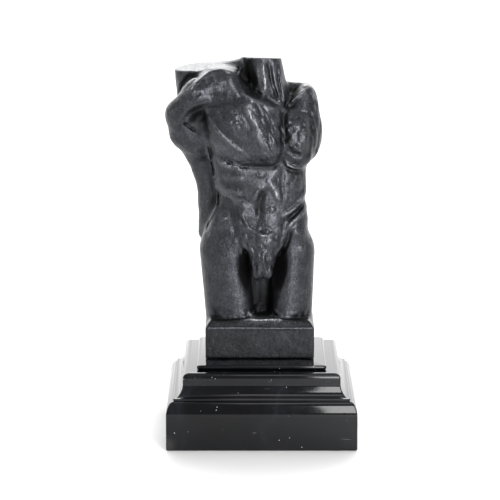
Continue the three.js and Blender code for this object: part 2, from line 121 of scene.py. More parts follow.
ON, OFF = 1, -1                  # wax laid on, wax taken off
figure_forms = [
    # trunk
    (ON, 0, egg([-2, 4, 244], [43, 28, 50], [0, 0, CHEST_TURN])),
    (ON, 16, egg([0, 0, 196], [35, 23, 34])),
    (ON, 14, egg([-4.5, 3, 168], [42, 27, 26])),
    (ON, 8, egg([-34, 15, 268], [16, 12, 22], [0, 12, 20])),
    (ON, 8, egg([14, 25, 266], [16, 9, 21], [0, -10, 20])),
    # thighs and buttocks
    (ON, 10, limb([-32.5, -1, 156], [-28, -3, 97], 20, 19)),
    (ON, 10, limb([26.2, -1, 156], [24.5, -3, 97], 19, 18.5)),
    (ON, 6, limb([-26, -10, 152], [-17, -10, 98], 11, 12.5)),
    (ON, 6, limb([24, -10, 152], [18.5, -10, 98], 9.5, 11.5)),
    (ON, 9, egg([-25, 17, 160], [21, 18, 24])),
    (ON, 9, egg([18, 17, 160], [20, 18, 24])),
    (ON, 6, lump([-1.5, 11, 126], [20, 9, 32], 6)),
    (OFF, 9, egg([2, -27, 147], [17, 22, 24])),
    (OFF, 8, limb([2, -21, 142], [2, -17, 106], 12.5, 6.5)),
    (OFF, 6, limb([2.4, -10, 140], [2, -7, 107], 8, 5.5)),
    (OFF, 4, limb([2.4, -2, 136], [2, -1, 108], 4.5, 4)),
    # right shoulder and arm, bent behind the flank
    (ON, 10, egg([-32, -2, 287], [26, 19, 19], [0, 20, 0])),
    (ON, 8, limb([-30, -5, 300], [-54, -11, 290], 13, 12.5)),
    (ON, 6, limb([-54, -11, 290], [-68, -5, 273], 12.5, 12.3)),
    (ON, 5, limb([-68, -5, 273], [-66, 1, 256], 12.3, 12.3)),
    (ON, 6, limb([-62, 6, 249], [-49, 15, 222], 9.5, 8.4)),
    (ON, 6, limb([-49, 15, 222], [-45, 17, 195], 8.4, 7.8)),
    (ON, 5, limb([-45, 17, 195], [-46.5, 17, 168], 7.8, 7.4)),
    (ON, 8, egg([-51, 2, 258], [19, 15.5, 22], [0, -12, 0])),
    (ON, 8, limb([-43, 10.5, 240], [-41.5, 12, 178], 7.5, 8)),
    # left shoulder, drawn back
    (ON, 8, egg([35, 6, 260], [16.5, 18, 30], [0, -2, 0])),
    (ON, 6, egg([35.5, 8, 284], [11, 11, 13], [0, 20, 0])),
    (ON, 5, limb([18, 19, 289.5], [37, 19, 289], 8.5, 7.5)),
    (OFF, 4, limb([27, 6, 303], [36, 10, 303], 7, 5)),
    # neck, the ridge behind it and the squared stump at the right shoulder
    (ON, 5, limb([7.5, 6, 284], [0.7, 8, 326], 16.2, 14.3)),
    (ON, 6, limb([0, 16, 313], [-32, 20, 301], 10, 12)),
    (ON, 3, limb([-12, 14, 325], [-13, 18, 290], 3, 8)),
    (ON, 8, limb([-18, 20, 291], [-42, 24, 291], 13, 12)),
    (ON, 8, drum([-50.5, 20.5, 297.4], [21.5, 16.5], 13.2, 2.2, [6, -5, 0])),
    (ON, 4, lump([-33, 12, 302], [13, 17, 9.5], 2)),
    # chest
    (ON, 11, egg([-13, -13, 264], [35, 21, 28], [0, 25, 14])),
    (ON, 10, limb([-10.5, -24.5, 283], [4, -22.5, 248], 7, 11)),
    (ON, 5, egg([27.5, -9.5, 253], [17.5, 14, 24], [0, 0, 9])),
    (ON, 4, egg([31, -8, 238], [12, 12, 9])),
    # ribs, belly and hips
    (ON, 5, egg([-15, -4, 219], [24, 22, 22], [0, 20, 10])),
    (ON, 8, egg([21.5, 2, 216], [15.6, 17, 27])),
    (ON, 4, egg([-14, -16, 190], [12, 9.5, 14])),
    (ON, 5, egg([7, -15, 181], [12, 10, 12])),
    (ON, 8, egg([-31, -7, 184], [10.5, 11, 15], [0, 12, 0])),
    (ON, 6, egg([27, -8, 175], [11, 13, 15])),
    (ON, 6, egg([30, -3, 186], [8.5, 11, 12])),
    # groin
    (ON, 4, egg([1, -14, 168], [18, 14, 14])),
    (ON, 4, limb([2, -15, 164], [1, -20, 152], 15.5, 11)),
    (ON, 3, limb([1, -20, 152], [0.8, -23, 142], 10, 7)),
    (ON, 2, egg([-2.8, -24.5, 141.5], [5, 5.5, 7.5])),
    (ON, 2, egg([4.6, -24.5, 142], [4.6, 5, 8])),
]


def smooth_curve(path, steps=5):
    """Points along a curve that passes through the path's own points."""
    path = np.array(path, float)
    if len(path) < 3:
        return path
    ends = np.vstack([2 * path[0] - path[1], path, 2 * path[-1] - path[-2]])
    t = (np.arange(steps) / steps)[:, None]
    spans = [0.5 * (2 * b + (c - a) * t + (2 * a - 5 * b + 4 * c - d) * t ** 2
                    + (3 * b - a - 3 * c + d) * t ** 3)
             for a, b, c, d in zip(ends, ends[1:], ends[2:], ends[3:])]
    return np.vstack(spans + [path[-1:]])


# each side a stroke is drawn on: the axis across it, the axis into it, and which way it faces
SIDES = {"front": (0, 1, -1), "back": (0, 1, 1), "right": (1, 0, -1), "left": (1, 0, 1)}


def worked(points, path, width, height, limit=0, side="front", fade=0.25):
    """How far one stroke of the tool lifts the surface. The path is drawn on the front or the
    back as places (x, z), or on the right or the left as places (y, z)."""
    seen, depth, sign = SIDES[side]
    route = smooth_curve(path)
    low, high = route.min(0) - width, route.max(0) + width
    lift = np.zeros(len(points))
    close = ((points[:, seen] > low[0]) & (points[:, seen] < high[0])
             & (points[:, 2] > low[1]) & (points[:, 2] < high[1])
             & (sign * (points[:, depth] - limit) > -4))
    if not close.any():
        return lift
    q = points[close][:, [seen, 2]]
    nearest, along = np.full(len(q), 1e9), np.zeros(len(q))
    for i, (a, b) in enumerate(zip(route, route[1:])):
        way = b - a
        t = np.clip((q - a) @ way / (way @ way + 1e-12), 0, 1)
        away = np.hypot(*(q - a - t[:, None] * way).T)
        won = away < nearest
        nearest[won], along[won] = away[won], (i + t[won]) / (len(route) - 1)
    across = np.clip(1 - (nearest / width) ** 2, 0, 1) ** 2
    end = np.clip(np.minimum(along, 1 - along) / max(fade, 1e-3), 0, 1)
    ends = 0.15 + 0.85 * end ** 2 * (3 - 2 * end) if fade > 0 else 1
    facing = np.clip(sign * (points[close][:, depth] - limit) / 8 + 0.5, 0, 1)
    lift[close] = height * across * ends * facing
    return lift


strokes = [
    # neck: strands and grooves, the hollow on its right and the thin lip beside that
    dict(path=[(-3.5, 321), (-3, 306), (1, 294), (5, 288)], width=6.5, height=1.5, limit=20),
    dict(path=[(0.4, 320), (2.2, 307), (3.5, 295)], width=3, height=1.7, limit=20),
    dict(path=[(5.4, 320), (7.4, 307), (11.4, 293), (15, 286)], width=2.3, height=-1.3, limit=20),
    dict(path=[(9.3, 320), (11, 304), (14.4, 290), (17, 281)], width=2.2, height=1.1, limit=20),
    dict(path=[(13, 314), (14.8, 298), (17, 286)], width=1.6, height=-1, limit=20),
    dict(path=[(15.6, 310), (17.6, 294), (19.6, 281)], width=2, height=1.3, limit=20),
    dict(path=[(-10.5, 320), (-11, 307), (-9, 297)], width=5.5, height=-0.6, limit=20, fade=0.3),
    dict(path=[(-15.4, 321), (-15.9, 313), (-17.6, 309), (-20.5, 306)], width=1.8, height=1.3,
         limit=24),
    # collar bones, the pit between them and the turned edge at the left shoulder
    dict(path=[(-20, 294), (-11.4, 290.6), (-3, 287), (7, 280.7), (13.5, 275.6)],
         width=2.2, height=1.2, limit=10),
    dict(path=[(-15, 296.5), (-7, 292.8), (2, 289), (10, 283.5), (15.5, 279)], width=3,
         height=-1.3, limit=10),
    dict(path=[(-28, 308), (-24.8, 300.7), (-21.3, 295), (-18, 290)], width=3.8, height=2,
         limit=10),
    dict(path=[(16, 280), (18.5, 277.5), (22, 278.5)], width=2, height=1, limit=10),
    dict(path=[(20.3, 284), (20.6, 280), (22, 277)], width=1.7, height=-1.2, limit=10),
    dict(path=[(22.3, 279.5), (27.5, 286), (33.5, 290.8), (41.7, 294.5)], width=2.1, height=1.9,
         limit=14),
    dict(path=[(25, 289), (30, 293.5), (36, 297)], width=4, height=-1.8, limit=14),
    dict(path=[(41.7, 295), (43.2, 289), (45.7, 284.3), (48, 280)], width=1.7, height=1.3,
         limit=14),
    dict(path=[(21, 273.5), (31, 276), (42, 272.5), (49, 267)], width=2, height=-0.7, limit=14),
    # right shoulder and arm: the crest, the arch of the armpit and its pits
    dict(path=[(-70, 289), (-62, 296), (-53.5, 303), (-46.5, 308.6), (-41, 311), (-33, 312),
               (-23, 309.5)], width=1.7, height=1.2, limit=14, fade=0.1),
    dict(path=[(-47, 250), (-44.4, 236), (-41.8, 222), (-38.8, 208), (-38, 198), (-41, 190),
               (-46, 180), (-50, 170)], width=1.9, height=1.3, limit=2, fade=0.1),
    dict(path=[(-47.5, 303.5), (-45.5, 304)], width=3.4, height=1, limit=10),
    dict(path=[(-40.8, 304.8), (-38.8, 304.4)], width=2.8, height=0.8, limit=10),
    dict(path=[(-60, 291), (-46, 294), (-26, 294.5)], width=3.4, height=-0.5, limit=10),
    dict(path=[(-66.2, 263), (-64.4, 270.9), (-60, 276.2), (-54, 280), (-47.4, 282.6),
               (-39.8, 284.6), (-30, 286)], width=3, height=-0.8, limit=10),
    dict(path=[(-61, 268), (-54, 274), (-45, 276.5)], width=8, height=-0.8, limit=10),
    dict(path=[(-65, 268), (-63.5, 265.8), (-59.4, 262.4), (-54.3, 259), (-47, 256)], width=1.7,
         height=-0.9),
    dict(path=[(-64, 266.6), (-63, 265.8)], width=2.3, height=-1, fade=0),
    dict(path=[(-58.2, 261.4), (-57, 260.6)], width=2, height=-0.9, fade=0),
    dict(path=[(-58, 256), (-47, 254), (-33, 247.5), (-20, 240), (-7, 236)], width=6, height=0.5),
    dict(path=[(-47.5, 280), (-46.4, 276.5), (-43, 271.5), (-39, 265.5), (-32.3, 257.8),
               (-24.8, 251), (-16.4, 244.8), (-7, 238)], width=2.4, height=0.8),
    dict(path=[(-41, 279), (-36.5, 269), (-29, 260), (-20, 252), (-9, 244)], width=5,
         height=-0.8),
    # right breast: crest, point, and the crease under it
    dict(path=[(-13, 286), (-8.6, 278), (-4.2, 268), (0, 257), (3.6, 244)], width=7,
         height=1.2),
    dict(path=[(-13.5, 285.5), (-10.6, 278), (-7, 270), (-3, 259.5), (0.5, 249)], width=2.2,
         height=0.35),
    dict(path=[(-21.6, 275), (-20.4, 272), (-21.8, 269.5)], width=2.1, height=0.9, fade=0),
    dict(path=[(-20.4, 267), (-19.6, 265.5)], width=2.2, height=0.6, fade=0),
    dict(path=[(9.6, 257.5), (10.6, 254.5)], width=2.4, height=0.7, fade=0),
    dict(path=[(3.4, 243.4), (4.6, 241.8)], width=2.4, height=0.8, fade=0),
    dict(path=[(-44, 247), (-37.5, 241.8), (-30.5, 237.6), (-22, 234), (-11, 231.8), (8.5, 231),
               (15.6, 234.6), (19, 243)], width=3.6, height=-0.8, fade=0.2),
    dict(path=[(-32, 238.5), (-22, 233.8), (-11, 231.8), (8.5, 231.2), (15.5, 235)], width=1.4,
         height=-0.4, fade=0.2),
    dict(path=[(-38, 239), (-28, 233.6), (-18, 230), (-9.5, 227)], width=5.6, height=1.5),
    # breast bone, left breast, the hollow beside it and the bright fold under it
    dict(path=[(18.8, 277), (18.4, 262), (18.8, 247)], width=4.6, height=-1.5),
    dict(path=[(40.5, 273), (41.5, 258), (40.5, 244), (36.5, 235.5)], width=4.2, height=-1.4,
         limit=6),
    dict(path=[(21.5, 247), (27, 242), (35, 240.4)], width=3.2, height=-1.6),
    dict(path=[(18.8, 236.4), (22.2, 232), (27.3, 229.6), (35, 228)], width=2.5, height=2.1,
         fade=0.35),
    dict(path=[(20, 230), (27, 226), (35, 224.5)], width=3, height=-0.9),
    # ribs and the arch over the belly
    dict(path=[(-36, 224), (-24, 222.8), (-12, 220)], width=4.2, height=1),
    dict(path=[(-36, 218), (-25, 216), (-14, 213)], width=3, height=-0.7),
    dict(path=[(-36, 212), (-24, 209.5), (-15, 206)], width=3.8, height=0.8),
    dict(path=[(-28.5, 214.8), (-26.5, 214.2)], width=3, height=-0.8, fade=0),
    dict(path=[(18, 237), (13, 227), (7, 219.5), (0.3, 212), (-6.4, 204), (-11.4, 198)],
         width=4.4, height=1.1),
    dict(path=[(-36, 209), (-25, 203), (-18, 200), (-11.4, 197.2)], width=4.4, height=1),
    dict(path=[(-5, 228), (-2, 223.5), (3, 224.5)], width=1.7, height=0.8),
    # belly, navel and left flank
    dict(path=[(7, 219.5), (10.4, 213.3), (13, 206), (11, 202)], width=5.6, height=2.3),
    dict(path=[(7.4, 197.5), (10, 192.5)], width=3.8, height=1.5),
    dict(path=[(1.6, 214), (-0.2, 206), (-1.4, 198), (-2, 186)], width=5, height=-2),
    dict(path=[(17.4, 230), (17.6, 216), (17, 202)], width=3, height=-0.8),
    dict(path=[(16, 187), (24, 191.8), (30, 196.4), (35, 203), (38, 211)], width=2.7, height=1.7,
         limit=6),
    dict(path=[(19.5, 176), (27.4, 184.4), (35, 191), (39, 198)], width=2.8, height=1.5, limit=6),
    dict(path=[(20, 183.5), (28, 189.6), (35, 197)], width=2.4, height=-1.3, limit=6),
    # groin and hips
    dict(path=[(-21, 194), (-18.6, 188), (-15, 181.5)], width=2.6, height=-1.3),
    dict(path=[(-16.6, 191), (-13, 184), (-10, 178)], width=2.3, height=1.5),
    dict(path=[(-26, 196), (-23, 184), (-20, 170)], width=5, height=-1),
    dict(path=[(-19.5, 178), (-11.4, 178.6), (-4.7, 176.2), (1, 174), (6, 173.4), (11.3, 175.6),
               (18, 180)], width=2.5, height=1.4),
    dict(path=[(-18.6, 173), (-19, 164), (-17, 156)], width=2.8, height=-0.9),
    dict(path=[(23.5, 178), (22.6, 169), (18.8, 160), (14.5, 153)], width=3.2, height=-1.8),
    dict(path=[(-32, 187.5), (-31, 184.5)], width=4.4, height=1),
    dict(path=[(28.6, 178.5), (29.8, 172)], width=4, height=1.2),
    dict(path=[(33.5, 163), (34.5, 157)], width=4.4, height=0.9),
    # between the thighs the groin ends in blunt upright folds
    dict(path=[(0.9, 149), (1, 142), (1, 134)], width=1.7, height=-1, limit=-8, fade=0),
    dict(path=[(-4.5, 149), (-4.6, 139)], width=1.5, height=-0.7, limit=-8, fade=0),
    dict(path=[(6, 149), (6, 139)], width=1.5, height=-0.7, limit=-8, fade=0),
    # back: furrow of the spine, cleft, shoulder blades and loins
    dict(path=[(-13, 300), (-15, 270), (-8, 225), (-3, 196), (-3, 178)], width=8, height=-2.4,
         side="back", limit=8),
    dict(path=[(-4, 174), (-4, 148)], width=6, height=-4, side="back", limit=8),
    dict(path=[(-30, 288), (-24, 268), (-28, 248)], width=9, height=1.5, side="back", limit=8),
    dict(path=[(2, 288), (-2, 266), (8, 247)], width=9, height=1.4, side="back", limit=8),
    dict(path=[(-19, 240), (-14, 212), (-12, 190)], width=9, height=1.4, side="back", limit=8),
    dict(path=[(4, 240), (6, 212), (7, 190)], width=9, height=1.4, side="back", limit=8),
]
# where the thighs meet the block the wax was pressed down in a rough seam, and the block's own
# arris has a thin raised burr
seams = [
    dict(path=[(-18, 101.6), (-9.8, 101), (0.4, 100.6), (11, 101), (21, 101.8)], width=1.7,
         height=1.1, limit=-14),
    dict(path=[(-13, 105.5), (-8, 103.4), (-2, 106), (5, 103.4), (12, 105)], width=2, height=1,
         limit=-10),
    dict(path=[(-46, 101), (-34, 100.4), (-20, 101)], width=2.4, height=-0.8, limit=-14),
    dict(path=[(22, 101), (36, 100.6), (44, 101)], width=2.4, height=-0.8, limit=-14),
    dict(path=[(-47, 94), (-20, 94.4), (10, 93.8), (44, 94.2)], width=1.2, height=0.55,
         limit=-24, fade=0.02),
]
# fine rings drawn with a toothed tool round the right breast, from its crest to the breast bone
for ring in range(7):
    out = ring / 6
    strokes.append(dict(path=[(-5 + 10 * out, 287 - 3 * out), (3 + 10 * out, 278.5 - 3 * out),
                              (8.5 + 9 * out, 266.5 - 1.5 * out), (10 + 8 * out, 253 - 2 * out),
                              (6.5 + 8 * out, 243.5 - 4 * out)],
                        width=1.2, height=0.6 - 0.2 * (ring % 2)))


def grain(points, size, seed):
    """Soft random unevenness between -1 and 1, with lumps about size across."""
    q = points / np.array(size, float)
    cell = np.floor(q).astype(np.int64)
    f = q - cell
    f = f * f * (3 - 2 * f)
    total = np.zeros(len(points))
    for corner in np.ndindex(2, 2, 2):
        at = cell + corner
        mixed = (at[:, 0] * 73856093) ^ (at[:, 1] * 19349663) ^ (at[:, 2] * 83492791)
        mixed = (mixed ^ (seed * 2654435761)) & 0xFFFFFFFF
        mixed = ((mixed ^ (mixed >> 15)) * 2246822519) & 0xFFFFFFFF
        mixed = ((mixed ^ (mixed >> 13)) * 3266489917) & 0xFFFFFFFF
        weight = np.prod(np.where(np.array(corner) == 1, f, 1 - f), axis=1)
        total += weight * ((mixed ^ (mixed >> 16)) / 2147483647.5 - 1)
    return total


def patch(points, centre, radii, turn=0, side="front", limit=0):
    """1 inside an oval drawn on one side of the figure, fading to 0 at its edge."""
    seen, depth, sign = SIDES[side]
    a, b = points[:, seen] - centre[0], points[:, 2] - centre[1]
    c, s = math.cos(math.radians(turn)), math.sin(math.radians(turn))
    away = np.hypot((a * c + b * s) / radii[0], (b * c - a * s) / radii[1])
    facing = np.clip(sign * (points[:, depth] - limit) / 8 + 0.5, 0, 1)
    fade = np.clip((1.15 - away) / 0.45, 0, 1)
    return fade ** 2 * (3 - 2 * fade) * facing


def fibres(points, turn, length, width, seed):
    """Streaks laid along a direction turned from the upright in the front's plane."""
    c, s = math.cos(math.radians(turn)), math.sin(math.radians(turn))
    along, across = points[:, 2] * c + points[:, 0] * s, points[:, 0] * c - points[:, 2] * s
    return grain(np.stack([across, points[:, 1], along], 1), (width, 2.5 * width, length), seed)


# where the tool left a texture: centre, radii, turn of the oval, then direction, length, width
# and depth of the streaks
streaked = [
    ((2, 304), (17, 19), 0, 2, 16, 2.6, 0.7),          # neck
    ((-57, 297), (18, 13), 0, 40, 10, 2.6, 0.8),       # face of the stump
    ((3, 263), (15, 25), 20, -25, 7, 2.2, 0.8),       # inner side of the right breast
    ((45, 256), (7, 30), 0, 4, 14, 2.2, 0.9),          # left upper arm
    ((-45, 288), (26, 9), 0, 80, 16, 2.4, 0.35),       # upper arm
    ((-7, 163), (13, 15), 0, -24, 6, 1.8, 0.9),
    ((9, 163), (12, 15), 0, 24, 6, 1.8, 0.9),            # hair of the groin
    ((1, 145), (10, 13), 0, 0, 7, 1.7, 1.1),
    ((-24, 236), (15, 6), -25, 70, 6, 2.4, 0.7),       # shelf under the breast
    ((26, 215), (12, 18), 0, 5, 14, 2.8, 0.45),        # left flank
]
lumpy = [
    ((28, 259), (10, 16), 0, 3.2, 1.5),               # left breast, built of small pellets
    ((-24, 234.5), (15, 6), -25, 2.8, 0.9),
    ((6, 176.5), (14, 4), 0, 2.6, 0.9),
    ((10, 211), (5, 9), 0, 2.6, 0.5),
    ((-21, 272), (7, 6), 0, 2.6, 0.6),
    ((1, 104), (24, 5), 0, 3, 1),
    ((-28, 104), (12, 4), 0, 3, 0.7),
    ((32, 104), (10, 4), 0, 3, 0.6),
]


def figure_distance(points, finish=True):
    """Distance to the bronze, below zero inside it."""
    d = None
    for way, join, form in figure_forms:
        e = form(points)
        if d is None:
            d = e
        else:
            d = blended(d, e, join) if way == ON else -blended(-d, e, join)
    if finish:
        for one in strokes:
            d = d - worked(points, **one)
    tilted = points[:, 0] * 0.02 + points[:, 1] * 0.1 + points[:, 2] - NECK_CUT
    d = np.maximum(d, tilted)
    x, y, z = np.abs(points[:, 0] - BLOCK_SHIFT), np.abs(points[:, 1]), points[:, 2]
    drawn_in = np.clip((z - BLOCK_FACE_TOP) / (BLOCK_TOP - BLOCK_FACE_TOP), 0, 1) * BLOCK_SLOPE
    sides = np.maximum(x - BLOCK_HALF[0] + drawn_in, y - BLOCK_HALF[1] + drawn_in)
    block = np.maximum(sides, z - BLOCK_TOP)
    d = blended(d, block, 2.5 if finish else 0)
    if finish:
        front = np.clip(0.5 - points[:, 1] / 30, 0.25, 1)
        for one in seams:
            d = d - worked(points, **one)
        # the wax was left less rough low down, on the thighs and the block
        rough = np.clip((points[:, 2] - 100) / 90, 0.35, 1)
        uneven = rough * (0.40 * grain(points, (9, 9, 9), 3)
                          + 0.30 * grain(points, (4.6, 4.6, 4.6), 5)
                          + 0.20 * grain(points, (2.6, 2.6, 2.6), 8)) * front
        for centre, radii, oval, turn, length, width, depth in streaked:
            uneven += depth * patch(points, centre, radii, oval, limit=14) * fibres(
                points, turn, length, width, 11)
        for centre, radii, oval, size, depth in lumpy:
            uneven += depth * patch(points, centre, radii, oval, limit=4) * grain(
                points, (size, size, size), 17)
        calm = np.clip((NECK_CUT - 1 - points[:, 2]) / 2, 0, 1) * np.clip(
            (points[:, 2] - BLOCK_FOOT) / 4, 0, 1)
        d = d - uneven * calm
    return np.maximum(d, BLOCK_FOOT - points[:, 2])


def near_surface(distance, low, high, cell, halvings=2):
    """Samples distance on a grid of cells, exactly only near the surface."""
    coarse = 2 ** halvings
    count = (np.ceil((high - low) / (cell * coarse)).astype(int) + 1)
    step = cell * coarse
    spots = np.stack(np.meshgrid(*[low[i] + step * np.arange(count[i]) for i in range(3)],
                                 indexing="ij"), -1)
    values = distance(spots.reshape(-1, 3)).reshape(count)
    for _ in range(halvings):
        step /= 2
        for axis in range(3):
            lower, upper = [np.take(values, range(a, values.shape[axis] - 1 + a), axis)
                            for a in (0, 1)]
            finer = np.stack([lower, (lower + upper) / 2], axis + 1)
            shape = list(values.shape)
            shape[axis] = 2 * (shape[axis] - 1)
            last = np.take(values, [-1], axis)
            values = np.concatenate([finer.reshape(shape), last], axis)
        band = np.argwhere(np.abs(values) < 2.6 * step)
        exact = [distance(low + part * step) for part in np.array_split(band, 12)]
        values[tuple(band.T)] = np.concatenate(exact)
    return values


def skin(values, low, cell):
    """One point in each cell that the surface crosses, joined into four-sided faces."""
    inside = values < 0
    shape = np.array(values.shape) - 1
    corners = list(np.ndindex(2, 2, 2))
    held = [values[a:shape[0] + a, b:shape[1] + b, c:shape[2] + c] for a, b, c in corners]
    count = sum((h < 0).astype(np.int8) for h in held)
    crossed = (count > 0) & (count < 8)
    cells = np.argwhere(crossed)
    number = np.full(crossed.shape, -1)
    number[crossed] = np.arange(len(cells))
    held = [h[crossed] for h in held]
    total, hits = np.zeros((len(cells), 3)), np.zeros(len(cells))
    for i, first in enumerate(corners):
        for j in range(i + 1, 8):
            way = np.array(corners[j]) - first
            if np.abs(way).sum() != 1:
                continue
            cut = (held[i] < 0) != (held[j] < 0)
            t = held[i][cut] / (held[i][cut] - held[j][cut])
            total[cut] += first + way * t[:, None]
            hits[cut] += 1
    points = low + (cells + total / hits[:, None]) * cell
    faces = []
    for axis in range(3):
        side = [a for a in range(3) if a != axis]
        first = np.take(inside, range(values.shape[axis] - 1), axis)
        second = np.take(inside, range(1, values.shape[axis]), axis)
        edges = np.argwhere(first != second)
        whole = np.all([(edges[:, s] > 0) & (edges[:, s] < values.shape[s] - 1) for s in side], 0)
        edges = edges[whole]
        ring = []
        for back in ((1, 1), (0, 1), (0, 0), (1, 0)):
            at = edges.copy()
            at[:, side[0]] -= back[0]
            at[:, side[1]] -= back[1]
            ring.append(number[tuple(at.T)])
        ring = np.stack(ring, 1)
        turn = ~first[tuple(edges.T)] if axis != 1 else first[tuple(edges.T)]
        ring[turn] = ring[turn][:, ::-1]
        faces.append(ring)
    return points, np.concatenate(faces)


def solid_object(name, points, faces):
    """A smooth-shaded mesh object from points in millimetres and four-sided faces."""
    mesh = bpy.data.meshes.new(name)
    mesh.vertices.add(len(points))
    mesh.vertices.foreach_set("co", (points / 1000).astype(np.float32).ravel())
    mesh.loops.add(faces.size)
    mesh.loops.foreach_set("vertex_index", faces.astype(np.int32).ravel())
    mesh.polygons.add(len(faces))
    mesh.polygons.foreach_set("loop_start", np.arange(len(faces), dtype=np.int32) * 4)
    mesh.polygons.foreach_set("use_smooth", np.ones(len(faces), dtype=bool))
    mesh.update(calc_edges=True)
    mesh.validate()
    made = bpy.data.objects.new(name, mesh)
    bpy.context.collection.objects.link(made)
    return made


CELL = 0.9    # size of the grid's cells
figure_low, figure_high = np.array([-86.0, -40.0, 64.0]), np.array([56.0, 44.0, 325.0])
wax = near_surface(figure_distance, figure_low, figure_high, CELL)
torso = solid_object("bronze_figure", *skin(wax, figure_low, CELL))


def thinned(piece, most):
    """A plain copy of the piece with no more than the given number of triangles."""
    triangles = sum(len(face.vertices) - 2 for face in piece.data.polygons)
    reduce = piece.modifiers.new("thinned", "DECIMATE")
    reduce.ratio = min(1, most / triangles)
    reduce.use_collapse_triangulate = True
    evaluated = piece.evaluated_get(bpy.context.evaluated_depsgraph_get())
    mesh = bpy.data.meshes.new_from_object(evaluated)
    piece.modifiers.remove(reduce)
    spare, piece.data = piece.data, mesh
    bpy.data.meshes.remove(spare)
    mesh.name = piece.name


MOST_TRIANGLES = 192000
thinned(torso, MOST_TRIANGLES)


def node(tree, kind, place=(0, 0), settings=(), **inputs):
    """A shader node; settings are its own fields, inputs its sockets by name."""
    made = tree.nodes.new(kind)
    made.location = place
    for field, value in dict(settings).items():
        setattr(made, field, value)
    for name, value in inputs.items():
        socket = made.inputs[name.replace("_", " ")]
        if isinstance(value, bpy.types.NodeSocket):
            tree.links.new(value, socket)
        else:
            socket.default_value = value
    return made


def maths(tree, operation, place, *parts):
    """A maths node's result; each part is a socket or a number."""
    made = node(tree, "ShaderNodeMath", place, dict(operation=operation))
    for socket, part in zip(made.inputs, parts):
        if isinstance(part, bpy.types.NodeSocket):
            tree.links.new(part, socket)
        else:
            socket.default_value = part
    return made.outputs[0]


def finish_named(name):
    """A new material, its tree, its main shader and the piece's own coordinates."""
    made = bpy.data.materials.new(name)
    made.use_nodes = True
    tree = made.node_tree
    shader = tree.nodes["Principled BSDF"]
    own = node(tree, "ShaderNodeTexCoord", (-1400, 0)).outputs["Object"]
    return made, tree, shader, own


def ramp(tree, factor, stops, place=(0, 0)):
    """A colour ramp over factor with stops (position, grey or colour)."""
    made = node(tree, "ShaderNodeValToRGB", place, Fac=factor)
    elements = made.color_ramp.elements
    while len(elements) < len(stops):
        elements.new(0.5)
    for element, (position, colour) in zip(elements, stops):
        element.position = position
        if isinstance(colour, (int, float)):
            colour = (colour, colour, colour)
        element.color = (*colour, 1)
    return made.outputs["Color"]


# how far each point of the worked surface stands above or below the plain forms, and how deep
# it lies between them: the high places are made lighter, partly patina rubbed thin and partly
# painted highlight, and the low ones darker, partly darker patina and partly painted shade
def read_points(mesh, field):
    """The mesh's points, or their normals, as rows of three."""
    flat = np.empty(len(mesh.vertices) * 3, np.float32)
    mesh.vertices.foreach_get(field, flat)
    return flat.reshape(-1, 3).astype(float)


def mark_points(mesh, name, values):
    """Keeps one number for each of the mesh's points."""
    mesh.attributes.new(name, "FLOAT", "POINT").data.foreach_set(
        "value", values.astype(np.float32))


def plain_distance(points):
    """Distance to the plain forms, worked out in parts."""
    return np.concatenate([figure_distance(part, finish=False)
                           for part in np.array_split(points, 8)])


REACH = 15.0                     # how far out the room over each point is felt
places = read_points(torso.data, "co") * 1000
outward = read_points(torso.data, "normal")
# painted highlight: raised places, the seams and the block's burr get a lighter patina tone,
# partly wear and partly highlights the lamps don't give
sheen_and_wear = 0.5 + plain_distance(places) / 5.5 - 0.25 * (places[:, 2] < BLOCK_TOP + 1)
for one in seams:
    sheen_and_wear += np.maximum(worked(places, **one), 0) * 0.55
mark_points(torso.data, "rubbed_sheen", np.clip(sheen_and_wear, 0, 1))
# painted shade: an occlusion measure, 1 where little room lies over a point, which darkens the
# colour; partly darker patina in the hollows
mark_points(torso.data, "shade_and_hollow_patina", np.clip(
    1.05 - plain_distance(places + outward * REACH) / REACH, 0, 1))

patina, tree, shader, own = finish_named("dark bronze patina")
rubbed_sheen = node(tree, "ShaderNodeAttribute", (-1200, 300),
             dict(attribute_name="rubbed_sheen")).outputs["Fac"]
shade_and_hollow_patina = node(tree, "ShaderNodeAttribute", (-1200, 500),
            dict(attribute_name="shade_and_hollow_patina")).outputs["Fac"]
clouds = node(tree, "ShaderNodeTexNoise", (-1200, 0), Vector=own, Scale=55.0, Detail=6.0,
              Roughness=0.6).outputs["Fac"]
specks = node(tree, "ShaderNodeTexNoise", (-1200, -250), Vector=own, Scale=520.0, Detail=4.0,
              Roughness=0.65).outputs["Fac"]
raised = maths(tree, "MULTIPLY", (-1000, 300), rubbed_sheen, 0.7)
tone = maths(tree, "MULTIPLY_ADD", (-850, 250), clouds, 0.22, raised)
combed = node(tree, "ShaderNodeMapping", (-1400, -750), Vector=own, Scale=(1.0, 1.0, 0.3),
              Rotation=(0.0, 0.35, 0.0))
combed = node(tree, "ShaderNodeTexNoise", (-1200, -750), Vector=combed.outputs["Vector"],
              Scale=480.0, Detail=3.0, Roughness=0.6).outputs["Fac"]
mottled = maths(tree, "MULTIPLY_ADD", (-850, 100), specks, 0.42, tone)
streaks = maths(tree, "MULTIPLY_ADD", (-700, 100), combed, 0.30, mottled)
level = maths(tree, "SUBTRACT", (-550, 100), streaks, 0.32)
# the lightest stop is a pale grey: painted highlight on the raised places
open_tone = ramp(tree, level, [(0.25, (0.014, 0.0145, 0.016)), (0.50, (0.038, 0.040, 0.046)),
                               (0.68, (0.080, 0.083, 0.093)), (0.88, (0.260, 0.265, 0.280))],
                 (-650, 300))
